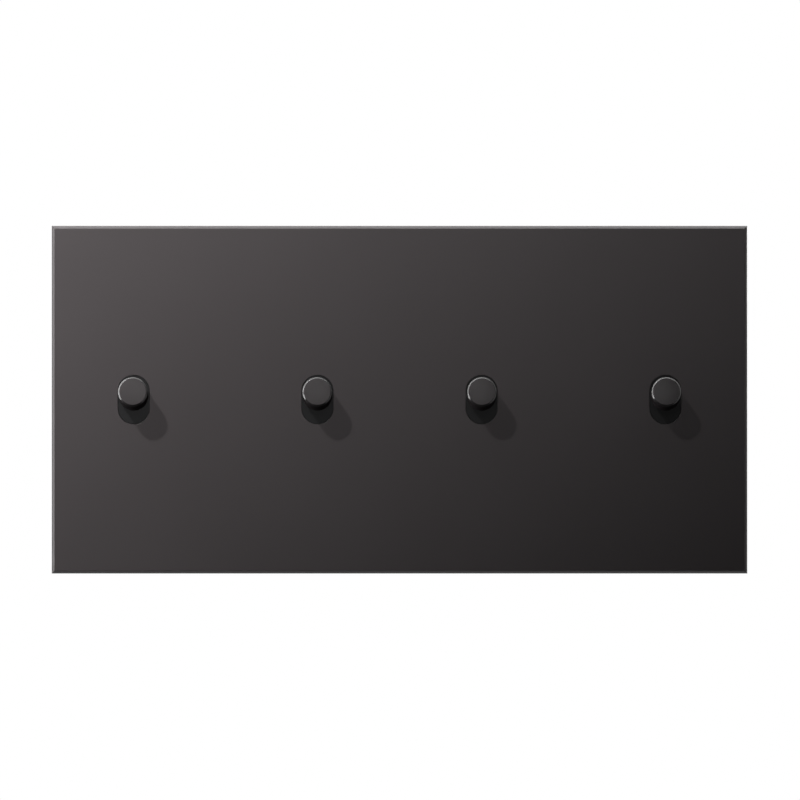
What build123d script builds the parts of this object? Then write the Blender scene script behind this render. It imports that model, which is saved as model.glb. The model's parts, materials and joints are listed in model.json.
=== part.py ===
from build123d import *

import os
from math import cos, radians, sin, tan

# A double plate with four toggles over two wall boxes, in millimetres and degrees.
# The wall is the plane y = 0, the room is on its -Y side and the boxes on its +Y side.
# The origin is the middle of the wall plane behind the plate. All toggles stand tilted up.

# Wall boxes and support rings
gang_pitch = 71.0
ring_gap = 5.0
box_slot_width = 3.5
box_slot_length = 8.0
box_bore_radius = 28.8
ring_margin = 1.25
ring_thickness = 1.0
ring_corner_cut = 5.0
ring_opening_lip = 2.0
lug_spacing = 26.0
lug_width = 6.0
lug_length = 6.0

# Cover plate
plate_rim = 1.8
plate_wall = 2.3
plate_chamfer = 0.6
pocket_corner_cut = 1.5
ring_side_gap = 0.7
slot_width = 6.5
slot_length = 10.1

# Plate carriers, with guides that fill the slots and legs that snap behind the rings
sheet_thickness = 0.9
sheet_gap = 0.3
sheet_inset = 1.0
sheet_corner_cut = 4.0
sheet_window_width = 24.0
sheet_window_height = 10.0
sheet_window_spacing = 30.0
guide_recess = 0.25
guide_fit = 0.05
leg_spacing_x = 30.0
leg_spacing_z = 49.0
leg_width = 5.0
leg_thickness = 1.2
leg_gap = 0.15
leg_length = 2.4
barb_height = 0.5
barb_flat = 0.6

# Toggle handles and the square tangs in them
toggle_spacing = 37.5
toggle_tilt = 6.0
pivot_setback = 2.1
handle_diameter = 6.0
handle_reach = 9.0
handle_chamfer = 0.3
handle_clearance = 0.15
handle_bore_depth = 5.5
tang_width = 2.2
tang_root = 1.2
tang_tip_gap = 0.3
tang_side_gap = 0.2

# Levers
lever_width = 5.0
trunnion_diameter = 2.6
trunnion_flat = 0.4
hub_wall = 1.5
hub_sides = 8
nose_length = 2.8
nose_thickness = 4.6
arm_length = 9.3
arm_thickness = 4.8
bore_floor = 2.4

# Plungers and springs
plunger_width = 3.0
plunger_length = 5.6
plunger_reach = 12.2
plunger_clearance = 0.1
spring_wire = 0.4
spring_outer_gap = 0.15
spring_end_gap = 0.05
spring_turns = 3
spring_runs = 8

# Contact rockers
rocker_tilt = 7.0
rocker_length = 14.6
rocker_width = 4.0
rocker_thickness = 0.8
rocker_gap = 0.12
roll_radius = 0.75
contact_arm = 6.0
tip_root = 2.0
tip_flat = 1.0
tip_height = 1.0
tip_length = 3.0
contact_gap = 0.1

# Fixed contacts and terminals
pad_height = 2.4
pad_thickness = 0.6
strip_width = 5.0
strip_thickness = 0.8
strip_overlap = 0.3
saddle_height = 3.6
saddle_setback = 0.35
saddle_depth = 1.4
post_height = 1.2
terminal_pitch = 9.4
cage_width = 7.4
cage_height = 5.2
cage_depth = 5.6
cage_wall = 0.8
clamp_thickness = 0.4
clamp_height = 3.2
clamp_bend = 1.4
clamp_leg_setback = 0.6
clamp_tip_offset = 1.2
clamp_tip_setback = 1.4

# Bearing frames
frame_thickness = 1.2
frame_height = 14.0
ear_thickness = 1.85
ear_height = 6.4
ear_margin = 1.0
ear_chamfer = 1.0

# Housing bases
base_height = 42.0
base_wall = 1.4
bridge_depth = 9.0
bridge_rib_spacing = 17.0
bridge_rib_thickness = 1.4
bridge_rib_depth = 6.0
chamber_chamfer = 1.0
barrier_front = 7.5
barrier_thickness = 1.5

# Terminal covers
cover_thickness = 1.6
cover_fit = 0.1
entry_width = 2.8
entry_height = 2.8
entry_offset = 1.3
release_width = 1.2
release_height = 2.4
release_offset = 2.2
hook_reach = 0.5
hook_length = 1.6
hook_height = 2.0
hook_setback = 1.2
hook_gap = 0.2

# Common clearances
running_clearance = 0.05
side_clearance = 0.15
seat_gap = 0.15
swing_gap = 0.3
stop_gap = 0.1

# Sizes across the wall
ring_size = gang_pitch - ring_gap
box_screw_spacing = ring_size - 2 * ring_margin - box_slot_width
plate_height = ring_size + 2 * (ring_side_gap + plate_rim)
plate_width = gang_pitch + plate_height
gangs = (("left", -gang_pitch / 2), ("right", gang_pitch / 2))
toggles = []
for gang_name, gang_x in gangs:
    for outer_side in (-1, 1):
        toggles.append((len(toggles) + 1, gang_x + outer_side * toggle_spacing / 2, outer_side))

# Levels along Y, from the plate's face to the lever's axis
ring_front = -ring_thickness
sheet_back = ring_front - sheet_gap
pocket_floor = sheet_back - sheet_thickness
plate_face = pocket_floor - plate_wall
pivot_depth = pivot_setback - plate_face

# The lever's own frame: its axis points out of the wall and up
tilt = radians(toggle_tilt)
lever_axis = Vector(0, -cos(tilt), sin(tilt))
handle_radius = handle_diameter / 2
hub_radius = trunnion_diameter / 2 + hub_wall
cap_distance = pivot_depth + handle_reach
foot_distance = (pivot_depth + handle_clearance + handle_radius * sin(tilt)) / cos(tilt)
ear_inner = lever_width / 2 + side_clearance
ear_outer = ear_inner + ear_thickness
bore_width = plunger_width + 2 * plunger_clearance
plunger_back = plunger_reach - plunger_length

# The guide's inner slot lets the tang swing both ways
guide_depth = pivot_depth - guide_recess
guide_slot_width = tang_width + 2 * tang_side_gap
guide_slot_height = 2 * (guide_depth * tan(tilt) + tang_width / 2 / cos(tilt) + tang_side_gap)

# The rocker turns about the back of its strip, and the plunger's tip passes just in front of it
rocker_lean = radians(rocker_tilt)
rocker_pivot = pivot_setback + plunger_reach + rocker_gap + rocker_thickness
tip_reach = (contact_arm + tip_flat / 2) * sin(rocker_lean) + tip_height * cos(rocker_lean)
pad_face = rocker_pivot + tip_reach + contact_gap
strip_front = pad_face + pad_thickness
strip_back = strip_front + strip_thickness
cage_back = strip_back + cage_depth
base_depth = cage_back + swing_gap + cover_thickness

# Housing outline, worked out from what it holds
frame_width = toggle_spacing + 2 * ear_outer
base_width = frame_width + 2 * (seat_gap + base_wall)
chamber_width = 2 * (ear_outer + seat_gap + base_wall)
contact_width = cage_width + 2 * seat_gap
contact_height = 2 * terminal_pitch + cage_height + 2 * seat_gap
chamber_height = contact_height + 2 * base_wall
barrier_back = barrier_front + barrier_thickness
swing_reach = barrier_back - pivot_setback
barrier_window_height = 2 * (swing_reach * tan(tilt) + arm_thickness / 2 / cos(tilt) + stop_gap)
lever_window_width = 2 * ear_inner
lever_window_height = 2 * (hub_radius + swing_gap)
trunnion_seat = trunnion_diameter + 2 * running_clearance
ear_end = pivot_setback + trunnion_diameter / 2 + ear_margin
ring_opening_width = frame_width
ring_opening_height = frame_height - 2 * ring_opening_lip
sheet_size = ring_size - 2 * sheet_inset
cover_width = contact_width - 2 * cover_fit
hook_back = base_depth - cover_thickness - hook_setback
hook_front = hook_back - hook_length

os.makedirs("parts", exist_ok=True)


# Plane parallel to the wall at depth y, seen from the room: its x runs right, its y runs up
def wall_plane(x, y):
    return Plane(origin=(x, y, 0), x_dir=(1, 0, 0), z_dir=(0, -1, 0))


# Plane square to the left-right axis: its x runs into the wall, its y runs up
def side_plane(x):
    return Plane(origin=(x, 0, 0), x_dir=(0, 1, 0), z_dir=(1, 0, 0))


# Plane across a lever at a distance from its axis of turning, facing along the handle
def lever_plane(x, distance):
    return Plane(
        origin=Vector(x, pivot_setback, 0) + lever_axis * distance,
        x_dir=(1, 0, 0),
        z_dir=lever_axis,
    )


# Plane along a lever and square to its axis of turning: its x runs out along the handle
def lever_side_plane(x):
    return Plane(origin=(x, pivot_setback, 0), x_dir=lever_axis, z_dir=(1, 0, 0))


# Plane through a handle's own axis, for turning it: its x is the radius, its y runs outwards
def turning_plane(x):
    return Plane(origin=(x, pivot_setback, 0), x_dir=(1, 0, 0), z_dir=Vector(1, 0, 0).cross(lever_axis))


# Plane square to a rocker's axis of turning: its x runs into the wall, its y along the strip
def rocker_plane(x):
    return Plane(
        origin=(x, rocker_pivot, 0),
        x_dir=(0, cos(rocker_lean), sin(rocker_lean)),
        z_dir=(1, 0, 0),
    )


# Level plane through a terminal: its x runs to the housing's outer side, its y into the wall
def terminal_plane(x, height, outer_side):
    return Plane(origin=(x, 0, height), x_dir=(outer_side, 0, 0), z_dir=(0, 0, outer_side))


# Cover plate: one milled plate with a rear pocket and four slots
with BuildPart() as cover_plate:
    with BuildSketch(wall_plane(0, 0)):
        Rectangle(plate_width, plate_height)
    extrude(amount=-plate_face)
    chamfer(cover_plate.faces().sort_by(Axis.Y)[0].edges(), plate_chamfer)
    with BuildSketch(wall_plane(0, 0)) as pocket:
        Rectangle(plate_width - 2 * plate_rim, plate_height - 2 * plate_rim)
        chamfer(pocket.vertices(), pocket_corner_cut)
    extrude(amount=-pocket_floor, mode=Mode.SUBTRACT)
    with BuildSketch(wall_plane(0, 0)):
        with GridLocations(gang_pitch, 0, 2, 1):
            with GridLocations(toggle_spacing, 0, 2, 1):
                SlotOverall(slot_length, slot_width, rotation=90)
    extrude(amount=-plate_face, mode=Mode.SUBTRACT)
cover_plate.part.label = "cover_plate"
export_step(cover_plate.part, "parts/cover_plate.step")

for gang_name, gang_x in gangs:
    # Plate carrier: a thin sheet in the pocket, two slot guides in front and four snap legs behind
    with BuildPart() as plate_carrier:
        with BuildSketch(wall_plane(gang_x, sheet_back)) as sheet:
            Rectangle(sheet_size, sheet_size)
            chamfer(sheet.vertices(), sheet_corner_cut)
            with GridLocations(0, sheet_window_spacing, 1, 2):
                Rectangle(sheet_window_width, sheet_window_height, mode=Mode.SUBTRACT)
        extrude(amount=sheet_thickness)
        with BuildSketch(wall_plane(gang_x, pocket_floor)):
            with GridLocations(toggle_spacing, 0, 2, 1):
                SlotOverall(slot_length - 2 * guide_fit, slot_width - 2 * guide_fit, rotation=90)
        extrude(amount=plate_wall - guide_recess)
        with BuildSketch(wall_plane(gang_x, sheet_back)):
            with GridLocations(toggle_spacing, 0, 2, 1):
                Rectangle(guide_slot_width, guide_slot_height)
        extrude(amount=sheet_thickness + plate_wall, mode=Mode.SUBTRACT)
        for leg_side in (-1, 1):
            leg_x = gang_x + leg_side * leg_spacing_x / 2 - leg_width / 2
            with BuildSketch(side_plane(leg_x)):
                leg_inner = (leg_spacing_z - leg_thickness) / 2
                leg_outer = (leg_spacing_z + leg_thickness) / 2
                with BuildLine():
                    Polyline(
                        (sheet_back, leg_inner),
                        (leg_length, leg_inner),
                        (leg_length, leg_outer),
                        (leg_gap + barb_flat, leg_outer + barb_height),
                        (leg_gap, leg_outer + barb_height),
                        (leg_gap, leg_outer),
                        (sheet_back, leg_outer),
                        close=True,
                    )
                make_face()
                mirror(about=Plane.XZ)
            extrude(amount=leg_width)
    plate_carrier.part.label = f"plate_carrier_{gang_name}"
    export_step(plate_carrier.part, f"parts/plate_carrier_{gang_name}.step")

    # Support ring: flat steel on the wall, with slots for the box screws, windows for the legs
    # and two lugs that are cut free and bent back into the base
    with BuildPart() as support_ring:
        with BuildSketch(wall_plane(gang_x, 0)) as ring:
            Rectangle(ring_size, ring_size)
            chamfer(ring.vertices(), ring_corner_cut)
            Rectangle(ring_opening_width, ring_opening_height, mode=Mode.SUBTRACT)
            with GridLocations(0, box_screw_spacing, 1, 2):
                SlotOverall(box_slot_length, box_slot_width, mode=Mode.SUBTRACT)
            with GridLocations(leg_spacing_x, leg_spacing_z, 2, 2):
                Rectangle(leg_width + 2 * leg_gap, leg_thickness + 2 * leg_gap, mode=Mode.SUBTRACT)
            with GridLocations(0, lug_spacing + 2 * ring_thickness + lug_length, 1, 2):
                Rectangle(lug_width, lug_length, mode=Mode.SUBTRACT)
        extrude(amount=ring_thickness)
        with BuildSketch(wall_plane(gang_x, lug_length)):
            with GridLocations(0, lug_spacing + ring_thickness, 1, 2):
                Rectangle(lug_width, ring_thickness)
        extrude(amount=lug_length + ring_thickness)
    support_ring.part.label = f"support_ring_{gang_name}"
    export_step(support_ring.part, f"parts/support_ring_{gang_name}.step")

    # Bearing frame: a plate behind the ring, with a pair of ears for each lever. The seats for the
    # trunnions are open at the back, where the plunger's spring pushes the lever forward into them
    with BuildPart() as bearing_frame:
        with BuildSketch(wall_plane(gang_x, frame_thickness)):
            Rectangle(frame_width, frame_height)
        extrude(amount=frame_thickness)
        with BuildSketch(wall_plane(gang_x, ear_end)):
            with GridLocations(toggle_spacing, 0, 2, 1):
                Rectangle(2 * ear_outer, ear_height)
        extrude(amount=ear_end)
        ear_ends = bearing_frame.edges().filter_by(Axis.X).group_by(Axis.Y)[-1]
        chamfer(ear_ends, ear_chamfer)
        with BuildSketch(wall_plane(gang_x, ear_end)):
            with GridLocations(toggle_spacing, 0, 2, 1):
                Rectangle(lever_window_width, lever_window_height)
        extrude(amount=ear_end, mode=Mode.SUBTRACT)
        for outer_side in (-1, 1):
            with BuildSketch(side_plane(gang_x + outer_side * toggle_spacing / 2 - ear_outer)):
                with Locations((pivot_setback, 0)):
                    Circle(trunnion_seat / 2)
                with Locations(((pivot_setback + ear_end) / 2, 0)):
                    Rectangle(ear_end - pivot_setback, trunnion_seat)
            extrude(amount=2 * ear_outer, mode=Mode.SUBTRACT)
    bearing_frame.part.label = f"bearing_frame_{gang_name}"
    export_step(bearing_frame.part, f"parts/bearing_frame_{gang_name}.step")

    # Housing base: two deep contact chambers joined by a shallow bridge that fits the box, with
    # ribs between the chambers that stiffen it
    with BuildPart() as housing_base:
        with BuildSketch(wall_plane(gang_x, bridge_depth)):
            Rectangle(base_width, base_height)
            Circle(box_bore_radius, mode=Mode.INTERSECT)
        extrude(amount=bridge_depth)
        with BuildSketch(wall_plane(gang_x, base_depth)) as chambers:
            with GridLocations(toggle_spacing, 0, 2, 1):
                Rectangle(chamber_width, chamber_height)
            chamfer(chambers.vertices(), chamber_chamfer)
        extrude(amount=base_depth)
        with BuildSketch(wall_plane(gang_x, bridge_depth + bridge_rib_depth)):
            with GridLocations(0, bridge_rib_spacing, 1, 2):
                Rectangle(toggle_spacing - chamber_width, bridge_rib_thickness)
            Rectangle(bridge_rib_thickness, bridge_rib_spacing)
        extrude(amount=bridge_rib_depth)
        with BuildSketch(wall_plane(gang_x, frame_thickness)):
            Rectangle(frame_width + 2 * seat_gap, frame_height + 2 * seat_gap)
        extrude(amount=frame_thickness, mode=Mode.SUBTRACT)
        with BuildSketch(wall_plane(gang_x, barrier_front)):
            with GridLocations(toggle_spacing, 0, 2, 1):
                Rectangle(2 * (ear_outer + seat_gap), ear_height + 2 * seat_gap)
        extrude(amount=barrier_front, mode=Mode.SUBTRACT)
        with BuildSketch(wall_plane(gang_x, barrier_back)):
            with GridLocations(toggle_spacing, 0, 2, 1):
                Rectangle(lever_width + 2 * swing_gap, barrier_window_height)
        extrude(amount=barrier_thickness, mode=Mode.SUBTRACT)
        with BuildSketch(wall_plane(gang_x, base_depth)):
            with GridLocations(toggle_spacing, 0, 2, 1):
                Rectangle(contact_width, contact_height)
        extrude(amount=base_depth - barrier_back, mode=Mode.SUBTRACT)
        with BuildSketch(wall_plane(gang_x, 0)):
            with GridLocations(0, lug_spacing + ring_thickness, 1, 2):
                Rectangle(lug_width + 2 * seat_gap, ring_thickness + 2 * seat_gap)
        extrude(amount=-lug_length - seat_gap, mode=Mode.SUBTRACT)
        for outer_side in (-1, 1):
            with BuildSketch(side_plane(gang_x + outer_side * toggle_spacing / 2)):
                with Locations(((hook_front + hook_back) / 2, 0)):
                    with GridLocations(0, terminal_pitch, 1, 2):
                        Rectangle(hook_length + 2 * hook_gap, hook_height + 2 * hook_gap)
            extrude(amount=chamber_width / 2, both=True, mode=Mode.SUBTRACT)
    housing_base.part.label = f"housing_base_{gang_name}"
    export_step(housing_base.part, f"parts/housing_base_{gang_name}.step")

# Clamp springs: bent leaves that press the wires against the cages, three for each toggle
with BuildPart() as clamp_springs:
    for number, x, outer_side in toggles:
        for level in (-terminal_pitch, 0, terminal_pitch):
            leaf_side = cage_width / 2 - cage_wall - running_clearance
            leaf_front = strip_back + running_clearance
            with BuildSketch(terminal_plane(x, level, outer_side)):
                with BuildLine():
                    Polyline(
                        (leaf_side, cage_back - clamp_leg_setback),
                        (leaf_side, leaf_front),
                        (leaf_side - clamp_bend, leaf_front),
                        (-clamp_tip_offset, cage_back - clamp_tip_setback),
                    )
                    offset(amount=clamp_thickness, side=Side.RIGHT)
                make_face()
            extrude(amount=clamp_height / 2, both=True)
clamp_springs.part.label = "clamp_springs"
export_step(clamp_springs.part, "parts/clamp_springs.step")

# Silver pads, an upper and a lower one for each toggle
with BuildPart() as fixed_tips:
    for number, x, outer_side in toggles:
        with BuildSketch(wall_plane(x, strip_front)):
            with GridLocations(0, 2 * contact_arm, 1, 2):
                Rectangle(rocker_width, pad_height)
        extrude(amount=pad_thickness)
fixed_tips.part.label = "fixed_tips"
export_step(fixed_tips.part, "parts/fixed_tips.step")

for number, x, outer_side in toggles:
    pivot = Vector(x, pivot_setback, 0)

    # Toggle handle: turned, with a flat chamfered cap and a square socket in its foot
    with BuildPart() as toggle_handle:
        with BuildSketch(turning_plane(x)):
            with BuildLine():
                Polyline(
                    (0, foot_distance),
                    (handle_radius, foot_distance),
                    (handle_radius, cap_distance - handle_chamfer),
                    (handle_radius - handle_chamfer, cap_distance),
                    (0, cap_distance),
                    close=True,
                )
            make_face()
        revolve(axis=Axis(pivot, lever_axis))
        with BuildSketch(lever_plane(x, foot_distance)):
            Rectangle(tang_width, tang_width)
        extrude(amount=handle_bore_depth, mode=Mode.SUBTRACT)
    toggle_handle.part.label = f"toggle_handle_{number}"
    export_step(toggle_handle.part, f"parts/toggle_handle_{number}.step")

    # Tang: a square bar that joins the handle to the lever through the guide's inner slot
    with BuildPart() as toggle_tang:
        with BuildSketch(lever_plane(x, -tang_root)):
            Rectangle(tang_width, tang_width)
        extrude(amount=tang_root + foot_distance + handle_bore_depth - tang_tip_gap)
    toggle_tang.part.label = f"toggle_tang_{number}"
    export_step(toggle_tang.part, f"parts/toggle_tang_{number}.step")

    # Lever: a flat-sided hub on trunnions that are cut flat at the back, with an arm bored square
    # for the plunger
    with BuildPart() as toggle_lever:
        with BuildSketch(lever_side_plane(x)):
            RegularPolygon(hub_radius, hub_sides, rotation=180 / hub_sides)
            with Locations((nose_length / 2, 0)):
                Rectangle(nose_length, nose_thickness)
            with Locations((-arm_length / 2, 0)):
                Rectangle(arm_length, arm_thickness)
        extrude(amount=lever_width / 2, both=True)
        with BuildSketch(lever_side_plane(x)):
            Circle(trunnion_diameter / 2)
            with Locations((-trunnion_flat - trunnion_diameter / 2, 0)):
                Rectangle(trunnion_diameter, trunnion_diameter, mode=Mode.SUBTRACT)
        extrude(amount=ear_outer, both=True)
        with BuildSketch(lever_plane(x, -arm_length)):
            Rectangle(bore_width, bore_width)
        extrude(amount=arm_length - bore_floor, mode=Mode.SUBTRACT)
        with BuildSketch(lever_plane(x, -tang_root)):
            Rectangle(tang_width, tang_width)
        extrude(amount=tang_root + nose_length, mode=Mode.SUBTRACT)
    toggle_lever.part.label = f"toggle_lever_{number}"
    export_step(toggle_lever.part, f"parts/toggle_lever_{number}.step")

    # Plunger: a square pin in the lever's bore, half round where it meets the rocker
    with BuildPart() as plunger:
        with BuildSketch(lever_side_plane(x)):
            nose_centre = plunger_width / 2 - plunger_reach
            with Locations((nose_centre, 0)):
                Circle(plunger_width / 2)
            with Locations(((nose_centre - plunger_back) / 2, 0)):
                Rectangle(plunger_length - plunger_width / 2, plunger_width)
        extrude(amount=plunger_width / 2, both=True)
    plunger.part.label = f"plunger_{number}"
    export_step(plunger.part, f"parts/plunger_{number}.step")

    # Spring: a coil of square wire between the bore's floor and the plunger, in short straight runs
    with BuildPart() as plunger_spring:
        coil_radius = bore_width / 2 - spring_outer_gap - spring_wire / 2
        coil_start = -plunger_back + spring_end_gap + spring_wire / 2
        coil_height = plunger_back - bore_floor - 2 * spring_end_gap - spring_wire
        coil_steps = spring_turns * spring_runs
        for step in range(coil_steps + 1):
            outwards = Vector(1, 0, 0).rotate(Axis((0, 0, 0), lever_axis), 360 * step / spring_runs)
            along = coil_start + coil_height * step / coil_steps
            section = Plane(
                origin=pivot + lever_axis * along + outwards * coil_radius,
                x_dir=outwards,
                z_dir=lever_axis.cross(outwards),
            )
            with BuildSketch(section):
                Rectangle(spring_wire, spring_wire)
        loft(ruled=True)
    plunger_spring.part.label = f"plunger_spring_{number}"
    export_step(plunger_spring.part, f"parts/plunger_spring_{number}.step")

    # Contact rocker: a brass strip that tips on the roll at its back
    with BuildPart() as contact_rocker:
        with BuildSketch(rocker_plane(x)):
            Circle(roll_radius)
            with Locations((-rocker_thickness / 2, 0)):
                Rectangle(rocker_thickness, rocker_length)
        extrude(amount=rocker_width / 2, both=True)
    contact_rocker.part.label = f"contact_rocker_{number}"
    export_step(contact_rocker.part, f"parts/contact_rocker_{number}.step")

    # Moving tips: silver bars with sloping sides across both ends of the strip
    with BuildPart() as moving_tips:
        with BuildSketch(rocker_plane(x)):
            for level in (-contact_arm, contact_arm):
                with BuildLine():
                    Polyline(
                        (0, level - tip_root / 2),
                        (tip_height, level - tip_flat / 2),
                        (tip_height, level + tip_flat / 2),
                        (0, level + tip_root / 2),
                        close=True,
                    )
                make_face()
        extrude(amount=tip_length / 2, both=True)
    moving_tips.part.label = f"moving_tips_{number}"
    export_step(moving_tips.part, f"parts/moving_tips_{number}.step")

    # Fixed contacts: a strip behind each pad that ends in a terminal cage
    strip_inner = contact_arm - pad_height / 2 - strip_overlap
    strip_outer = terminal_pitch + cage_height / 2
    for place, side in (("upper", 1), ("lower", -1)):
        with BuildPart() as fixed_contact:
            with BuildSketch(wall_plane(x, strip_back)):
                with Locations((0, side * (strip_inner + strip_outer) / 2)):
                    Rectangle(strip_width, strip_outer - strip_inner)
                with Locations((0, side * terminal_pitch)):
                    Rectangle(cage_width, cage_height)
            extrude(amount=strip_thickness)
            with BuildSketch(wall_plane(x, cage_back)):
                with Locations((0, side * terminal_pitch)):
                    Rectangle(cage_width, cage_height)
                    Rectangle(cage_width - 2 * cage_wall, cage_height - 2 * cage_wall, mode=Mode.SUBTRACT)
            extrude(amount=cage_depth)
        fixed_contact.part.label = f"{place}_contact_{number}"
        export_step(fixed_contact.part, f"parts/{place}_contact_{number}.step")

    # Common contact: a saddle behind the rocker's roll, on a post from its own cage
    with BuildPart() as common_contact:
        with BuildSketch(side_plane(x)):
            saddle_front = rocker_pivot + saddle_setback
            with Locations((saddle_front + saddle_depth / 2, 0)):
                Rectangle(saddle_depth, saddle_height)
            with Locations(((saddle_front + strip_back) / 2, 0)):
                Rectangle(strip_back - saddle_front, post_height)
            with Locations((rocker_pivot, 0)):
                Circle(roll_radius + running_clearance, mode=Mode.SUBTRACT)
        extrude(amount=rocker_width / 2, both=True)
        with BuildSketch(wall_plane(x, strip_back)):
            Rectangle(cage_width, cage_height)
        extrude(amount=strip_thickness)
        with BuildSketch(wall_plane(x, cage_back)):
            Rectangle(cage_width, cage_height)
            Rectangle(cage_width - 2 * cage_wall, cage_height - 2 * cage_wall, mode=Mode.SUBTRACT)
        extrude(amount=cage_depth)
    common_contact.part.label = f"common_contact_{number}"
    export_step(common_contact.part, f"parts/common_contact_{number}.step")

    # Terminal cover: closes the chamber, with wire entries, narrow slots to release the clamps,
    # ribs between the cages and hooks that snap into the housing's walls
    with BuildPart() as terminal_cover:
        rib_height = terminal_pitch - cage_height - 2 * seat_gap
        with BuildSketch(wall_plane(x, base_depth)):
            Rectangle(cover_width, contact_height - 2 * cover_fit)
            with Locations((-outer_side * entry_offset, 0)):
                with GridLocations(0, terminal_pitch, 1, 3):
                    Rectangle(entry_width, entry_height, mode=Mode.SUBTRACT)
            with Locations((outer_side * release_offset, 0)):
                with GridLocations(0, terminal_pitch, 1, 3):
                    Rectangle(release_width, release_height, mode=Mode.SUBTRACT)
        extrude(amount=cover_thickness)
        with BuildSketch(wall_plane(x, base_depth - cover_thickness)):
            with GridLocations(0, terminal_pitch, 1, 2):
                Rectangle(cover_width, rib_height)
        extrude(amount=cage_depth)
        for level in (-terminal_pitch / 2, terminal_pitch / 2):
            with BuildSketch(terminal_plane(x, level, outer_side)):
                with BuildLine():
                    Polyline(
                        (-cover_width / 2, hook_front),
                        (cover_width / 2, hook_front),
                        (cover_width / 2 + hook_reach, hook_back),
                        (-cover_width / 2 - hook_reach, hook_back),
                        close=True,
                    )
                make_face()
            extrude(amount=hook_height / 2, both=True)
    terminal_cover.part.label = f"terminal_cover_{number}"
    export_step(terminal_cover.part, f"parts/terminal_cover_{number}.step")
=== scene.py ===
import json
from math import cos, pi, radians, sin, tan

import bmesh
import bpy
from mathutils import Matrix, Vector


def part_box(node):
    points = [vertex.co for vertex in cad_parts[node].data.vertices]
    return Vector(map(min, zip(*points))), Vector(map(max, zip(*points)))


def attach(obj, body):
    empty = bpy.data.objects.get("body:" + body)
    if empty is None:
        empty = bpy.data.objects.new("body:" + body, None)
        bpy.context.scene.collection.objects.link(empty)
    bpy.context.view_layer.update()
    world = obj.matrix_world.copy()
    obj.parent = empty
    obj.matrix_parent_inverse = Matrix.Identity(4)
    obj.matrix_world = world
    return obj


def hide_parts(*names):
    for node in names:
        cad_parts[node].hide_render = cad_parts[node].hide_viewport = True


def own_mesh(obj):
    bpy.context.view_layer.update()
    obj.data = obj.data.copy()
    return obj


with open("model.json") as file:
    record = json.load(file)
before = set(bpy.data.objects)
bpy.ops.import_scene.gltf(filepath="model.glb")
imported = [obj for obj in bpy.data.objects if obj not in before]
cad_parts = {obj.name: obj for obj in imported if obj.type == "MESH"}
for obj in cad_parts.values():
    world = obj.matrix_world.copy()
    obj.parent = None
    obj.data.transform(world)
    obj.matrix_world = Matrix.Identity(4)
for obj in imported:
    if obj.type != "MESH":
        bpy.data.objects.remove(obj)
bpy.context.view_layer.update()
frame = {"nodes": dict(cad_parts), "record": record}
nodes = frame["nodes"]
scene = bpy.context.scene
mm = 0.001
gangSides = ("left", "right")
toggleNumbers = (1, 2, 3, 4)


# A node socket that can stand in a Python sum
class Wire:
    def __init__(self, tree, socket):
        self.tree = tree
        self.socket = socket

    def add(self, kind, settings=None, sockets=None, out=0):
        node = self.tree.nodes.new(kind)
        for key, value in (settings or {}).items():
            setattr(node, key, value)
        for key, value in (sockets or {}).items():
            if isinstance(value, Wire):
                self.tree.links.new(value.socket, node.inputs[key])
            elif isinstance(value, list):  # several wires into one socket
                for wire in value:
                    self.tree.links.new(wire.socket, node.inputs[key])
            else:
                node.inputs[key].default_value = value
        return Wire(self.tree, node.outputs[out])

    def sums(self, operation, first, second):
        return self.add("ShaderNodeMath", {"operation": operation}, {0: first, 1: second})

    def __add__(self, other):
        return self.sums("ADD", self, other)

    def __radd__(self, other):
        return self.sums("ADD", other, self)

    def __sub__(self, other):
        return self.sums("SUBTRACT", self, other)

    def __rsub__(self, other):
        return self.sums("SUBTRACT", other, self)

    def __mul__(self, other):
        return self.sums("MULTIPLY", self, other)

    def blend(self, first, second):  # colours mixed by this value
        return self.add("ShaderNodeMix", {"data_type": "RGBA"}, {0: self, 6: first, 7: second}, 2)

    def noise(self, scale, detail=2.0, roughness=0.5):
        wanted = {"Vector": self, "Scale": scale, "Detail": detail, "Roughness": roughness}
        return self.add("ShaderNodeTexNoise", None, wanted)

    def stretched(self, scale):
        return self.add("ShaderNodeMapping", None, {"Vector": self, "Scale": scale})

    def between(self, low, high):  # 0 below low, 1 above high
        wanted = {"Value": self, "From Min": low, "From Max": high}
        return self.add("ShaderNodeMapRange", {"interpolation_type": "SMOOTHSTEP"}, wanted)

    def bump(self, depth, strength):
        return self.add("ShaderNodeBump", None, {"Height": self, "Distance": depth, "Strength": strength})


def newFinish(name):
    material = bpy.data.materials.new(name)
    material.use_nodes = True
    tree = material.node_tree
    tree.nodes.clear()
    shader = tree.nodes.new("ShaderNodeBsdfPrincipled")
    output = tree.nodes.new("ShaderNodeOutputMaterial")
    tree.links.new(shader.outputs[0], output.inputs[0])
    place = Wire(tree, tree.nodes.new("ShaderNodeTexCoord").outputs["Object"])
    return material, shader, place


def feed(shader, **links):
    names = {"colour": "Base Color", "roughness": "Roughness", "normal": "Normal"}
    for key, wire in links.items():
        wire.tree.links.new(wire.socket, shader.inputs[names[key]])


def opaque(tone):
    return (*tone, 1.0)


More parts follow.
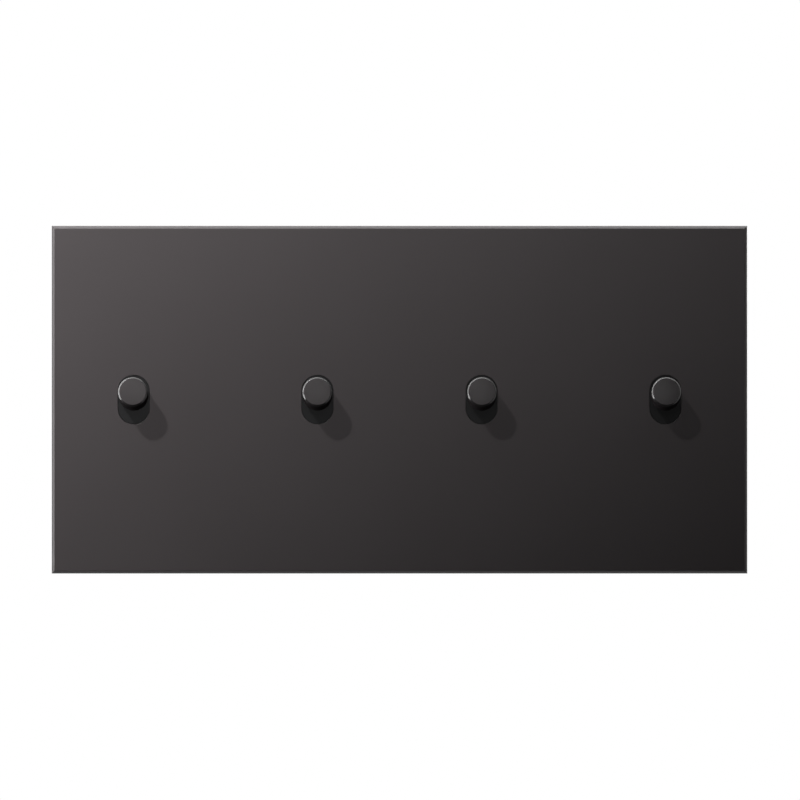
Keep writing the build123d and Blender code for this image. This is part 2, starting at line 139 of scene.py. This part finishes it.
# Finishes: one for each material slot, and more coats of the lacquer for edges and handles; the coats of the
# handles' rims and shanks are darkened as painted shade
lacquer = {
    "dark": (0.0735, 0.0650, 0.0670),
    "light": (0.0805, 0.0715, 0.0737),
    "clouds": 38.0,  # slow unevenness of the coat, some centimetres
    "cloudShare": 0.75,  # of the tone, the rest is grain
    "cloudGloss": 0.05,
    "grain": 4200.0,  # orange peel of a sprayed coat, a quarter millimetre
    "grainDepth": 0.006 * mm,
    "grainGloss": 0.24,
}
coats = {  # depth scales the tone, and grain is the strength of the orange peel
    "darkLacquer": {"depth": 1.0, "roughness": 0.31, "grain": 0.25, "specular": 0.5},
    "edgeLacquer": {"depth": 1.0, "roughness": 0.26, "grain": 0.05, "specular": 0.5},
    "capLacquer": {"depth": 0.78, "roughness": 0.30, "grain": 0.2, "specular": 0.5},
    # painted shade: the rim's tone is darkened so that it reads black wherever no lamp reflects in it
    "rimLacquerPaintedShade": {"depth": 0.3, "roughness": 0.24, "grain": 0.01, "specular": 0.5},
    "shankLacquerPaintedShade": {"depth": 0.3, "roughness": 0.55, "grain": 0.25, "specular": 0.0},  # painted shade: a darker tone that stands in for the shade under the cap
}


def makeLacquer(name):
    coat = coats[name]
    material, shader, place = newFinish(name)
    shader.inputs["Specular IOR Level"].default_value = coat["specular"]
    dark = [coat["depth"] * part for part in lacquer["dark"]]
    light = [coat["depth"] * part for part in lacquer["light"]]
    cloud = place.noise(lacquer["clouds"], detail=3.0)
    grain = place.noise(lacquer["grain"], roughness=0.6)
    tone = cloud * lacquer["cloudShare"] + grain * (1 - lacquer["cloudShare"])
    uneven = (cloud - 0.5) * lacquer["cloudGloss"] + (grain - 0.5) * (lacquer["grainGloss"] * coat["grain"])
    feed(
        shader,
        colour=tone.blend(opaque(dark), opaque(light)),
        roughness=coat["roughness"] + uneven,
        normal=grain.bump(lacquer["grainDepth"], coat["grain"]),
    )
    return material


moulding = {
    "blackMoulding": {"dark": (0.0125, 0.0125, 0.013), "light": (0.0175, 0.0175, 0.0181), "roughness": 0.52},
    "greyMoulding": {"dark": (0.46, 0.47, 0.48), "light": (0.52, 0.53, 0.54), "roughness": 0.48},
    "whiteMoulding": {"dark": (0.74, 0.735, 0.70), "light": (0.80, 0.80, 0.77), "roughness": 0.42},
}
mouldTexture = {
    "specular": 0.3,
    "flow": (60.0, 60.0, 18.0),  # faint flow of the melt
    "flowShare": 0.7,  # of the tone, the rest is spark texture
    "flowGloss": 0.08,
    "spark": 3600.0,  # spark-eroded mould texture
    "sparkShare": 0.7,  # of the relief, the rest is pits
    "sparkGloss": 0.16,
    "pits": 2600.0,
    "reliefDepth": 0.03 * mm,
    "relief": 0.3,
}


def makeMoulding(name):
    look = moulding[name]
    material, shader, place = newFinish(name)
    shader.inputs["Specular IOR Level"].default_value = mouldTexture["specular"]
    flow = place.stretched(mouldTexture["flow"]).noise(1.0, detail=3.0)
    spark = place.noise(mouldTexture["spark"], detail=3.0, roughness=0.65)
    pits = place.add("ShaderNodeTexVoronoi", None, {"Vector": place, "Scale": mouldTexture["pits"]})
    tone = flow * mouldTexture["flowShare"] + spark * (1 - mouldTexture["flowShare"])
    uneven = (spark - 0.5) * mouldTexture["sparkGloss"] + (flow - 0.5) * mouldTexture["flowGloss"]
    relief = spark * mouldTexture["sparkShare"] + pits * (1 - mouldTexture["sparkShare"])
    feed(
        shader,
        colour=tone.blend(opaque(look["dark"]), opaque(look["light"])),
        roughness=look["roughness"] + uneven,
        normal=relief.bump(mouldTexture["reliefDepth"], mouldTexture["relief"]),
    )
    return material


sheetMetal = {
    "zincSteel": {
        "dark": (0.50, 0.51, 0.53),
        "light": (0.66, 0.67, 0.68),
        "roughness": 0.34,
        "spangle": 420.0,
        "stain": (0.42, 0.43, 0.45),
        "stained": 0.45,
    },
    "contactBrass": {
        "dark": (0.66, 0.46, 0.18),
        "light": (0.78, 0.58, 0.26),
        "roughness": 0.30,
        "spangle": 900.0,
        "stain": (0.42, 0.27, 0.11),
        "stained": 0.18,
    },
    "silverContact": {
        "dark": (0.78, 0.78, 0.76),
        "light": (0.88, 0.88, 0.86),
        "roughness": 0.26,
        "spangle": 1500.0,
        "stain": (0.52, 0.50, 0.46),
        "stained": 0.25,
    },
    "blackenedSteel": {
        "dark": (0.035, 0.035, 0.037),
        "light": (0.075, 0.073, 0.072),
        "roughness": 0.42,
        "spangle": 1100.0,
        "stain": (0.02, 0.02, 0.022),
        "stained": 0.4,
    },
}
metalTexture = {
    "lines": (90.0, 5200.0, 5200.0),  # rolling lines run along X
    "lineDepth": 0.02 * mm,
    "lineRelief": 0.2,
    "lineGloss": 0.12,
    "spangleShare": 0.55,  # of the tone, the rest is rolling lines
    "spangleGloss": 0.10,
    "stains": 210.0,
    "stainEdge": (0.56, 0.72),
    "stainGloss": 0.12,
}


def makeSheetMetal(name):
    look = sheetMetal[name]
    material, shader, place = newFinish(name)
    cells = place.add("ShaderNodeTexVoronoi", None, {"Vector": place, "Scale": look["spangle"]}, 1)
    spangle = cells.add("ShaderNodeSeparateColor", None, {"Color": cells})
    rolled = place.stretched(metalTexture["lines"]).noise(1.0)
    blotches = place.noise(metalTexture["stains"], detail=4.0, roughness=0.6)
    stains = blotches.between(*metalTexture["stainEdge"])
    tone = spangle * metalTexture["spangleShare"] + rolled * (1 - metalTexture["spangleShare"])
    clean = tone.blend(opaque(look["dark"]), opaque(look["light"]))
    uneven = (spangle - 0.5) * metalTexture["spangleGloss"] + (rolled - 0.5) * metalTexture["lineGloss"]
    shader.inputs["Metallic"].default_value = 1.0
    feed(
        shader,
        colour=(stains * look["stained"]).blend(clean, opaque(look["stain"])),
        roughness=look["roughness"] + uneven + stains * metalTexture["stainGloss"],
        normal=rolled.bump(metalTexture["lineDepth"], metalTexture["lineRelief"]),
    )
    return material


finishes = {"dark_lacquer": makeLacquer("darkLacquer")}
edgeFinish = makeLacquer("edgeLacquer")
handleFinishes = [makeLacquer(name) for name in ("capLacquer", "rimLacquerPaintedShade", "shankLacquerPaintedShade")]
for slotName, finishName in (
    ("black_moulding", "blackMoulding"),
    ("grey_moulding", "greyMoulding"),
    ("white_moulding", "whiteMoulding"),
):
    finishes[slotName] = makeMoulding(finishName)
for slotName, finishName in (
    ("zinc_steel", "zincSteel"),
    ("contact_brass", "contactBrass"),
    ("silver", "silverContact"),
    ("blackened_steel", "blackenedSteel"),
):
    finishes[slotName] = makeSheetMetal(finishName)

slotOf = {}
for subpart in frame["record"]["subparts"]:
    slotOf[subpart["node"]] = subpart["material_slot"]
    for materialSlot in nodes[subpart["node"]].material_slots:
        materialSlot.material = finishes[subpart["material_slot"]]
print("finishes:", len(finishes), "on", len(slotOf), "nodes")


def newPiece(name, mesh):
    piece = bpy.data.objects.new(name, mesh)
    scene.collection.objects.link(piece)
    return piece


def applied(piece):  # modifiers become plain mesh
    depsgraph = bpy.context.evaluated_depsgraph_get()
    evaluated = piece.evaluated_get(depsgraph)
    mesh = bpy.data.meshes.new_from_object(evaluated, preserve_all_data_layers=True, depsgraph=depsgraph)
    piece.modifiers.clear()
    piece.data = mesh
    mesh.name = piece.name
    return piece


def keep(piece, body, node):
    mesh = piece.data
    mesh.materials.clear()
    mesh.materials.append(finishes[slotOf[node]])
    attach(piece, body)


def softEdges(piece, width, steps):
    for polygon in piece.data.polygons:
        polygon.use_smooth = True
    bevel = piece.modifiers.new("edges", "BEVEL")
    bevel.width = width
    bevel.segments = steps
    bevel.limit_method = "WEIGHT"
    bevel.use_clamp_overlap = False
    flats = piece.modifiers.new("flats", "WEIGHTED_NORMAL")
    flats.keep_sharp = True
    return applied(piece)


# Rigid pieces whose edges are rounded off as milling, pressing and moulding leave them
softened = {
    "cover_plate": {"width": 0.06 * mm, "rim": 0.30 * mm, "steps": 5},  # rounder outside its chamfer
    "plate_carrier": {"width": 0.08 * mm, "steps": 2},
    "support_ring": {"width": 0.07 * mm, "steps": 2},
    "housing_base": {"width": 0.14 * mm, "steps": 2, "sharpAt": 7.5 * mm},  # a ledge too narrow to round
    "terminal_cover": {"width": 0.12 * mm, "steps": 2},
}
softening = {
    "sharpFrom": radians(22),
    "flatWithin": radians(0.4),
    "sameSpot": 0.002 * mm,
    "touching": 0.01 * mm,
    "rimFrom": 0.3 * mm,  # the plate's outer chamfer edge lies this far behind its face
    "rimTo": 1.0 * mm,
    "edgeFrom": 0.2,  # chamfer and rounded edges look forwards by this much
    "edgeTo": 0.995,
}


def onRim(edge, low, high):  # edges where the plate's chamfer meets its sides
    for vertex in edge.verts:
        side = min(vertex.co.x - low.x, high.x - vertex.co.x, vertex.co.z - low.z, high.z - vertex.co.z)
        behind = vertex.co.y - low.y
        if side > softening["touching"] or not softening["rimFrom"] < behind < softening["rimTo"]:
            return False
    return True


def reachesDepth(edge, depth):
    return any(abs(vertex.co.y - depth) < softening["touching"] for vertex in edge.verts)


def softenedCopy(node, width, steps, rim=0.0, sharpAt=None):
    low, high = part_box(node)
    widest = max(width, rim)
    work = bmesh.new()
    work.from_mesh(nodes[node].data)
    bmesh.ops.remove_doubles(work, verts=work.verts, dist=softening["sameSpot"])
    bmesh.ops.dissolve_limit(work, angle_limit=softening["flatWithin"], verts=work.verts, edges=work.edges)
    share = work.edges.layers.float.new("bevel_weight_edge")
    for edge in work.edges:
        if sharpAt is not None and reachesDepth(edge, sharpAt):
            continue
        if edge.is_manifold and edge.calc_face_angle() > softening["sharpFrom"]:
            edge[share] = 1.0 if rim > 0 and onRim(edge, low, high) else width / widest
    mesh = bpy.data.meshes.new(node + "_soft")
    work.to_mesh(mesh)
    work.free()
    piece = softEdges(newPiece(node + "_soft", mesh), widest, steps)
    for vertex in piece.data.vertices:  # a rounded corner can pass its solid by a few microns
        for axis in range(3):
            vertex.co[axis] = min(max(vertex.co[axis], low[axis]), high[axis])
    keep(piece, "insert", node)
    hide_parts(node)


for stem, look in softened.items():
    for node in sorted(nodes):
        if node.startswith(stem):
            softenedCopy(node, **look)
plate = bpy.data.objects["cover_plate_soft"]
plate.data.materials.append(edgeFinish)
for polygon in plate.data.polygons:
    forwards = -polygon.normal.y
    polygon.material_index = 1 if softening["edgeFrom"] < forwards < softening["edgeTo"] else 0


# Turned toggle handles
handle = {
    "pivot": 2.1 * mm,  # lever axis behind the wall plane
    "tilt": 6.0,
    "foot": 7.1 * mm,  # distances from the lever axis
    "cap": 15.6 * mm,
    "radius": 3.0 * mm,
    "chamfer": 0.3 * mm,
    "rounding": 0.09 * mm,
    "roundingSteps": 4,
    "around": 112,
    "capFrom": 0.97,  # how far a face of the cap or the rim looks out along the lever
    "rimFrom": 0.3,
}


def roundedCorners(points, radius, steps):
    rounded = [points[0]]
    for before, corner, after in zip(points, points[1:], points[2:]):
        toBefore = (Vector(before) - Vector(corner)).normalized()
        toAfter = (Vector(after) - Vector(corner)).normalized()
        half = toBefore.angle(toAfter) / 2
        start = Vector(corner) + toBefore * radius / tan(half)
        end = Vector(corner) + toAfter * radius / tan(half)
        centre = Vector(corner) + (toBefore + toAfter).normalized() * radius / sin(half)
        for step in range(steps + 1):
            share = step / steps
            spoke = (start - centre).lerp(end - centre, share).normalized()
            rounded.append(tuple(centre + spoke * radius))
    rounded.append(points[-1])
    return rounded


def turnedMesh(name, profile, around):
    work = bmesh.new()
    rings = []
    for radius, height in profile:
        if radius == 0:
            rings.append([work.verts.new((0, 0, height))])
            continue
        ring = []
        for step in range(around):
            angle = 2 * pi * step / around
            ring.append(work.verts.new((radius * cos(angle), radius * sin(angle), height)))
        rings.append(ring)
    for lower, upper in zip(rings, rings[1:]):
        for step in range(around):
            following = (step + 1) % around
            corners = [lower[step % len(lower)], lower[following % len(lower)]]
            corners += [upper[following % len(upper)], upper[step % len(upper)]]
            work.faces.new(list(dict.fromkeys(corners)))
    bmesh.ops.recalc_face_normals(work, faces=work.faces)
    mesh = bpy.data.meshes.new(name)
    work.to_mesh(mesh)
    work.free()
    return mesh


def leverFrame(number):  # local z runs out along the lever, local x along its axis
    low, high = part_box(f"toggle_handle_{number}")
    tilt = radians(handle["tilt"])
    outward = Vector((0, -cos(tilt), sin(tilt)))
    across = Vector((1, 0, 0))
    upward = outward.cross(across)
    place = Matrix((across, upward, outward)).transposed().to_4x4()
    place.translation = Vector(((low.x + high.x) / 2, handle["pivot"], 0))
    return place


handleProfile = roundedCorners(
    [
        (0.0, handle["foot"]),
        (handle["radius"], handle["foot"]),
        (handle["radius"], handle["cap"] - handle["chamfer"]),
        (handle["radius"] - handle["chamfer"], handle["cap"]),
        (0.0, handle["cap"]),
    ],
    handle["rounding"],
    handle["roundingSteps"],
)
handles = []
for number in toggleNumbers:
    mesh = turnedMesh(f"handle_{number}_turned", handleProfile, handle["around"])
    mesh.transform(leverFrame(number))
    piece = newPiece(f"handle_{number}_turned", mesh)
    for polygon in mesh.polygons:
        polygon.use_smooth = True
    piece.modifiers.new("flats", "WEIGHTED_NORMAL")
    applied(piece)
    keep(piece, f"toggle_{number}", f"toggle_handle_{number}")
    piece.data.materials.clear()
    for finish in handleFinishes:
        piece.data.materials.append(finish)
    outward = leverFrame(number).to_3x3() @ Vector((0, 0, 1))
    # the rim's and the shank's coats are darker copies of the lacquer, painted shade
    for polygon in piece.data.polygons:
        outlook = polygon.normal.dot(outward)
        if outlook > handle["capFrom"]:
            polygon.material_index = 0
        elif outlook > handle["rimFrom"]:
            polygon.material_index = 1
        else:
            polygon.material_index = 2
    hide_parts(f"toggle_handle_{number}")
    handles.append(piece)
print("handles:", len(toggleNumbers))


# Coil springs behind the plungers, wound by a node tree
coil = {
    "Turns": 4.5,
    "Coil radius": 1.25 * mm,
    "Height": 3.7 * mm,
    "Wire radius": 0.2 * mm,
    "Closed pitch": 0.41 * mm,  # rise of the turns that lie against each other at the ends
}
coilMesh = {"perTurn": 28, "around": 14, "openFrom": 0.10, "openTo": 0.90}  # open between the end turns
coilSeat = {
    "lowest": 6.35 * mm,  # middle of the wire's last turn, behind the lever axis
    "boreFloor": 2.4 * mm,
    "pressed": 0.88,  # share of its length when the plunger is pushed in
}


def openTree(treeName, values):  # with an input for each value, and one for the finish
    tree = bpy.data.node_groups.new(treeName, "GeometryNodeTree")
    tree.interface.new_socket("Geometry", in_out="OUTPUT", socket_type="NodeSocketGeometry")
    kinds = {name: "NodeSocketFloat" for name in values}
    kinds["Finish"] = "NodeSocketMaterial"
    identifiers = {}
    for name, kind in kinds.items():
        identifiers[name] = tree.interface.new_socket(name, in_out="INPUT", socket_type=kind).identifier
    entry = tree.nodes.new("NodeGroupInput")
    return tree, identifiers, {name: Wire(tree, entry.outputs[name]) for name in kinds}


def closeTree(tree, shape, finish):
    whole = shape.add("GeometryNodeRealizeInstances", None, {"Geometry": shape})
    coated = whole.add("GeometryNodeSetMaterial", None, {"Geometry": whole, "Material": finish})
    exitNode = tree.nodes.new("NodeGroupOutput")
    tree.links.new(coated.socket, exitNode.inputs[0])


def circle(wire, steps, radius):
    return wire.add("GeometryNodeCurvePrimitiveCircle", None, {"Resolution": steps, "Radius": radius})


def coilTree():
    tree, identifiers, inputs = openTree("coilSpring", coil)
    turns = inputs["Turns"]
    spiral = turns.add(
        "GeometryNodeCurveSpiral",
        None,
        {
            "Resolution": coilMesh["perTurn"],
            "Rotations": turns,
            "Start Radius": inputs["Coil radius"],
            "End Radius": inputs["Coil radius"],
            "Height": inputs["Height"],
        },
    )
    along = turns.add("GeometryNodeSplineParameter")
    here = turns.add("GeometryNodeInputPosition")
    closed = turns * inputs["Closed pitch"]
    opened = along.between(coilMesh["openFrom"], coilMesh["openTo"])
    level = along * closed + opened * (inputs["Height"] - closed)
    sideways = here.add("ShaderNodeSeparateXYZ", None, {0: here})
    forwards = here.add("ShaderNodeSeparateXYZ", None, {0: here}, 1)
    settled = here.add("ShaderNodeCombineXYZ", None, {0: sideways, 1: forwards, 2: level})
    path = spiral.add("GeometryNodeSetPosition", None, {"Geometry": spiral, "Position": settled})
    section = circle(turns, coilMesh["around"], inputs["Wire radius"])
    swept = {"Curve": path, "Profile Curve": section, "Fill Caps": True}
    wire = path.add("GeometryNodeCurveToMesh", None, swept)
    smooth = wire.add("GeometryNodeSetShadeSmooth", None, {"Geometry": wire})
    closeTree(tree, smooth, inputs["Finish"])
    return tree, identifiers


def grown(name, tree, identifiers, values, finish):  # plain mesh of a node tree
    piece = newPiece(name, bpy.data.meshes.new(name))
    growth = piece.modifiers.new("growth", "NODES")
    growth.node_group = tree
    for key, value in values.items():
        growth[identifiers[key]] = value
    growth[identifiers["Finish"]] = finish
    mesh = applied(piece).data
    bpy.data.objects.remove(piece)
    return mesh


springTree, springInputs = coilTree()
for number in toggleNumbers:
    mesh = grown(f"spring_{number}_wound", springTree, springInputs, coil, finishes["zinc_steel"])
    mesh.transform(leverFrame(number) @ Matrix.Translation((0, 0, -coilSeat["lowest"])))
    piece = newPiece(f"spring_{number}_wound", mesh)
    keep(piece, f"toggle_{number}", f"plunger_spring_{number}")
    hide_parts(f"plunger_spring_{number}")
    lever = leverFrame(number)
    outward = lever.to_3x3() @ Vector((0, 0, 1))
    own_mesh(piece)
print("springs:", len(toggleNumbers))


# Moulded marks on the bases: terminal numbers and a stripping gauge on the outer walls,
# rings of the ejector pins on the bridges between the chambers
wallMarks = {
    "Pitch": 9.4 * mm,
    "Number size": 2.6 * mm,
    "Column": 9.4 * mm,  # numbers stand this far from the gauge's middle, at the rear
    "Bare length": 11.0 * mm,
    "Bare width": 0.8 * mm,
    "Sheath length": 3.6 * mm,
    "Sheath width": 2.0 * mm,
    "Height": 0.26 * mm,
}
gauge = {"gap": 0.6 * mm, "corner": 0.3, "cornerSteps": 4, "sameSpot": 0.001 * mm}
pinMarks = {"Spread": 13.4 * mm, "Ring radius": 1.9 * mm, "Line radius": 0.13 * mm}
pinMesh = {"around": 40, "line": 10}
markPlaces = {
    "wallMiddle": 14.6 * mm,
    "bridge": 9.0 * mm,
    "sunk": 0.04 * mm,
    "pinRows": (-11.4 * mm, 0.0, 11.4 * mm),
}


def wallTree():
    tree, identifiers, inputs = openTree("wallMarks", wallMarks)
    start = inputs["Pitch"]
    column = inputs["Column"]
    rearwards = start.add("ShaderNodeMath", {"operation": "SIGN"}, {0: column})

    def placed(shape, across, up):
        spot = start.add("ShaderNodeCombineXYZ", None, {0: across, 1: up})
        return start.add("GeometryNodeTransform", None, {"Geometry": shape, "Translation": spot})

    def bar(length, width, across):
        sides = {"Width": length, "Height": width}
        outline = start.add("GeometryNodeCurvePrimitiveQuadrilateral", None, sides)
        fillet = {0: outline, "Count": gauge["cornerSteps"], "Radius": width * gauge["corner"]}
        rounded = outline.add("GeometryNodeFilletCurve", {"mode": "POLY"}, fillet)
        return placed(rounded, across, 0.0)

    shapes = [
        bar(inputs["Bare length"], inputs["Bare width"], 0.0),
        bar(
            inputs["Sheath length"],
            inputs["Sheath width"],
            rearwards * -0.5 * (inputs["Bare length"] + inputs["Sheath length"] + gauge["gap"]),
        ),
    ]
    centred = {"align_x": "CENTER", "align_y": "MIDDLE"}
    for row, digit in ((1, "1"), (0, "2"), (-1, "3")):
        written = {"String": digit, "Size": inputs["Number size"]}
        glyph = start.add("GeometryNodeStringToCurves", centred, written)
        shapes.append(placed(glyph, column, inputs["Pitch"] * row))
    outlines = start.add("GeometryNodeJoinGeometry", None, {0: shapes})
    loose = outlines.add("GeometryNodeRealizeInstances", None, {"Geometry": outlines})
    flat = loose.add("GeometryNodeFillCurve", None, {0: loose})
    lift = {"Mesh": flat, "Offset Scale": inputs["Height"], "Individual": False}
    raised = flat.add("GeometryNodeExtrudeMesh", None, lift)
    under = flat.add("GeometryNodeFlipFaces", None, {"Mesh": flat})
    whole = flat.add("GeometryNodeJoinGeometry", None, {0: [raised, under]})
    weld = {"Geometry": whole, "Distance": gauge["sameSpot"]}
    solid = whole.add("GeometryNodeMergeByDistance", None, weld)
    closeTree(tree, solid, inputs["Finish"])
    return tree, identifiers


def pinTree():
    tree, identifiers, inputs = openTree("pinMarks", pinMarks)
    spread = inputs["Spread"]
    first = spread.add("ShaderNodeCombineXYZ", None, {0: spread * -0.5})
    last = spread.add("ShaderNodeCombineXYZ", None, {0: spread * 0.5})
    ends = {"Count": 2, "Start Location": first, "Offset": last}
    spots = spread.add("GeometryNodeMeshLine", {"mode": "END_POINTS"}, ends)
    path = circle(spread, pinMesh["around"], inputs["Ring radius"])
    line = circle(spread, pinMesh["line"], inputs["Line radius"])
    ring = path.add("GeometryNodeCurveToMesh", None, {"Curve": path, "Profile Curve": line})
    rings = spots.add("GeometryNodeInstanceOnPoints", None, {"Points": spots, "Instance": ring})
    closeTree(tree, rings, inputs["Finish"])
    return tree, identifiers


def onFace(right, up, spot):  # local x and y lie in a face, local z stands out of it
    right, up = Vector(right), Vector(up)
    place = Matrix((right, up, right.cross(up))).transposed().to_4x4()
    place.translation = Vector(spot)
    return place


numberTree, numberInputs = wallTree()
ejectorTree, ejectorInputs = pinTree()
allMarks = bmesh.new()
for gang in gangSides:
    node = f"housing_base_{gang}"
    low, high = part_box(node)
    finish = finishes[slotOf[node]]
    for side, wall in ((-1, low.x), (1, high.x)):
        values = dict(wallMarks, Column=side * wallMarks["Column"])
        mesh = grown(f"marks_{gang}", numberTree, numberInputs, values, finish)
        spot = (wall - side * markPlaces["sunk"], markPlaces["wallMiddle"], 0)
        mesh.transform(onFace((0, side, 0), (0, 0, 1), spot))
        allMarks.from_mesh(mesh)
    for row in markPlaces["pinRows"]:
        mesh = grown(f"pins_{gang}", ejectorTree, ejectorInputs, pinMarks, finish)
        spot = ((low.x + high.x) / 2, markPlaces["bridge"], row)
        mesh.transform(onFace((-1, 0, 0), (0, 0, 1), spot))
        allMarks.from_mesh(mesh)
marksMesh = bpy.data.meshes.new("moulded_marks")
allMarks.to_mesh(marksMesh)
allMarks.free()
marksPiece = newPiece("moulded_marks", marksMesh)
keep(marksPiece, "insert", "housing_base_left")
print("moulded marks:", len(marksMesh.polygons), "faces")


# Camera straight in front, so long a lens that the picture is flat
cameraLook = {
    "lens": 500.0,
    "sensor": 36.0,
    "frameWidth": 163.25 * mm,  # at the plate's face
    "plateFace": -4.5 * mm,
    "aim": (0.09 * mm, -0.07 * mm),
}
cameraData = bpy.data.cameras.new("camera")
cameraData.lens = cameraLook["lens"]
cameraData.sensor_width = cameraLook["sensor"]
cameraDistance = cameraLook["frameWidth"] * cameraLook["lens"] / cameraLook["sensor"]
camera = bpy.data.objects.new("camera", cameraData)
camera.location = (cameraLook["aim"][0], cameraLook["plateFace"] - cameraDistance, cameraLook["aim"][1])
camera.rotation_euler = (pi / 2, 0, 0)
scene.collection.objects.link(camera)
scene.camera = camera


# Lamps: a far beam with a twin that casts no shadow, one lamp behind and one beside the object,
# one for the caps, and bent strips of small ones that draw the edges of plate and caps
beam = {
    "direction": (-0.3585, -0.7286, 0.5836),
    "distance": 3.5,
    "radius": 0.11,
    "aim": (-1.222, 0.0, 1.531),  # off the plate, so that the cone's slope lies across it
    "cone": 68.84,
    "watts": {"beam": 8400.0, "beamFill": 15400.0},
}
behind = {"place": (0.28, 0.62, 0.42), "aim": (0.0, 0.02, 0.0), "watts": 4.6, "size": 1.1}
beside = {"place": (0.58, 0.66, 0.24), "aim": (0.0, 0.0, 0.0), "watts": 3.2, "size": 0.4}
capLamp = {"place": (0.0, -1.467, 0.312), "aim": (0.0, 0.0, 0.0), "watts": 0.36, "size": 0.16}
strips = {  # degrees are counted from the right, over the top, to the left
    "rims": {"from": 62, "to": 197, "watts": (0.24, 0.92), "depth": 0.13, "lit": handles},
    "rimsRight": {"from": -43, "to": 47, "watts": (0.05, 0.10), "depth": 0.13, "lit": handles},
    "upper": {"from": 47, "to": 212, "watts": (0.262, 0.293), "depth": 0.0, "lit": [plate]},
    "lower": {"from": 227, "to": 392, "watts": (0.051, 0.0105), "depth": 0.0, "lit": [plate]},
}
stripLamp = {"radius": 0.63, "step": 15, "long": 0.165, "wide": 0.14, "cap": -0.0135}


def aimed(lamp, place, target):
    outward = (Vector(place) - Vector(target)).normalized()
    depth = (Vector((0, 1, 0)) - outward * outward.y).normalized()
    lamp.location = place
    lamp.rotation_euler = Matrix((depth.cross(outward), depth, outward)).transposed().to_euler()
    lamp.visible_camera = False
    scene.collection.objects.link(lamp)


for name, watts in beam["watts"].items():
    beamData = bpy.data.lights.new(name, "SPOT")
    beamData.energy = watts
    beamData.spot_size = radians(beam["cone"])
    beamData.spot_blend = 1.0
    beamData.shadow_soft_size = beam["radius"]
    beamData.use_shadow = name == "beam"
    beamPlace = Vector(beam["direction"]) * beam["distance"]
    aimed(bpy.data.objects.new(name, beamData), beamPlace, beam["aim"])
for name, look in (("behind", behind), ("beside", beside), ("capLamp", capLamp)):
    panelData = bpy.data.lights.new(name, "AREA")
    panelData.energy = look["watts"]
    panelData.size = look["size"]
    aimed(bpy.data.objects.new(name, panelData), look["place"], look["aim"])
for name, look in strips.items():
    receivers = bpy.data.collections.new(name)  # each strip lights only the pieces whose edges it draws
    for piece in look["lit"]:
        receivers.objects.link(piece)
    angles = range(look["from"], look["to"] + 1, stripLamp["step"])
    for count, degrees in enumerate(angles):
        side = cos(radians(degrees))
        rise = sin(radians(degrees))
        first, last = look["watts"]
        stripData = bpy.data.lights.new(f"{name}_{degrees}", "AREA")
        stripData.shape = "RECTANGLE"
        stripData.size = stripLamp["long"]
        stripData.size_y = stripLamp["wide"]
        stripData.energy = first + (last - first) * count / (len(angles) - 1)
        setback = stripLamp["cap"] + look["depth"] * rise  # the caps lean back
        place = (stripLamp["radius"] * side, setback, stripLamp["radius"] * rise)
        stripData.use_shadow = look["lit"] is not handles  # one handle would hide the next
        lamp = bpy.data.objects.new(f"{name}_{degrees}", stripData)
        lamp.light_linking.receiver_collection = receivers
        aimed(lamp, place, (0, 0, 0))


# White surround for the eye and for reflections, dim for everything else
surround = {
    "ambient": 0.002,
    "whiteFrom": -0.15,
    "whiteTo": 0.35,
    "flanks": 0.45,  # left and right reflect darker, and the right most
    "lean": 0.1,
}
world = bpy.data.worlds.new("surround")
scene.world = world
world.use_nodes = True
worldTree = world.node_tree
worldTree.nodes.clear()
lightPath = worldTree.nodes.new("ShaderNodeLightPath")
seen = Wire(worldTree, lightPath.outputs["Is Camera Ray"])
mirrored = Wire(worldTree, lightPath.outputs["Is Glossy Ray"])
through = Wire(worldTree, lightPath.outputs["Is Transmission Ray"])
heading = Wire(worldTree, worldTree.nodes.new("ShaderNodeTexCoord").outputs["Generated"])
sideways = heading.add("ShaderNodeSeparateXYZ", None, {0: heading})
depthwise = heading.add("ShaderNodeSeparateXYZ", None, {0: heading}, 1)
whiteSide = depthwise.between(surround["whiteFrom"], surround["whiteTo"])
dimming = sideways * sideways * (surround["flanks"] + sideways * surround["lean"])
reflected = mirrored * whiteSide * (1 - dimming)
level = seen + through + (1 - seen) * (reflected + (1 - mirrored) * surround["ambient"])
sky = level.add("ShaderNodeBackground", None, {"Color": (1, 1, 1, 1), "Strength": level})
worldOut = worldTree.nodes.new("ShaderNodeOutputWorld")
worldTree.links.new(sky.socket, worldOut.inputs[0])


# Pale floor well below the plate, which catches its shadow
floorLook = {
    "level": -0.12,
    "half": 0.9,
    "tone": (0.9, 0.9, 0.9),
    "roughness": 0.8,
    "glow": 0.84,
    "clear": (0.25, 0.75),  # turns pure white between these distances
}
floorCorners = []
for x, y in ((-1, -1), (1, -1), (1, 1), (-1, 1)):
    floorCorners.append((x * floorLook["half"], y * floorLook["half"], floorLook["level"]))
floorMesh = bpy.data.meshes.new("floor")
floorMesh.from_pydata(floorCorners, [], [(0, 1, 2, 3)])
floor = newPiece("floor", floorMesh)
floorFinish, floorShader, floorPlace = newFinish("paleFloor")
floorShader.inputs["Base Color"].default_value = opaque(floorLook["tone"])
floorShader.inputs["Roughness"].default_value = floorLook["roughness"]
glow = floorPlace.add("ShaderNodeEmission", None, {"Color": (1, 1, 1, 1), "Strength": 1.0})
matte = Wire(floorFinish.node_tree, floorShader.outputs[0])
away = floorPlace.add("ShaderNodeVectorMath", {"operation": "LENGTH"}, {0: floorPlace}, 1)
share = floorLook["glow"] + away.between(*floorLook["clear"]) * (1 - floorLook["glow"])
both = glow.add("ShaderNodeMixShader", None, {0: share, 1: matte, 2: glow})
floorOut = floorFinish.node_tree.nodes["Material Output"]
floorFinish.node_tree.links.new(both.socket, floorOut.inputs[0])
floorMesh.materials.append(floorFinish)
floor.visible_diffuse = False
floor.visible_glossy = False

scene.view_settings.view_transform = "Standard"
print("stage: camera", round(cameraDistance, 3), "m in front")
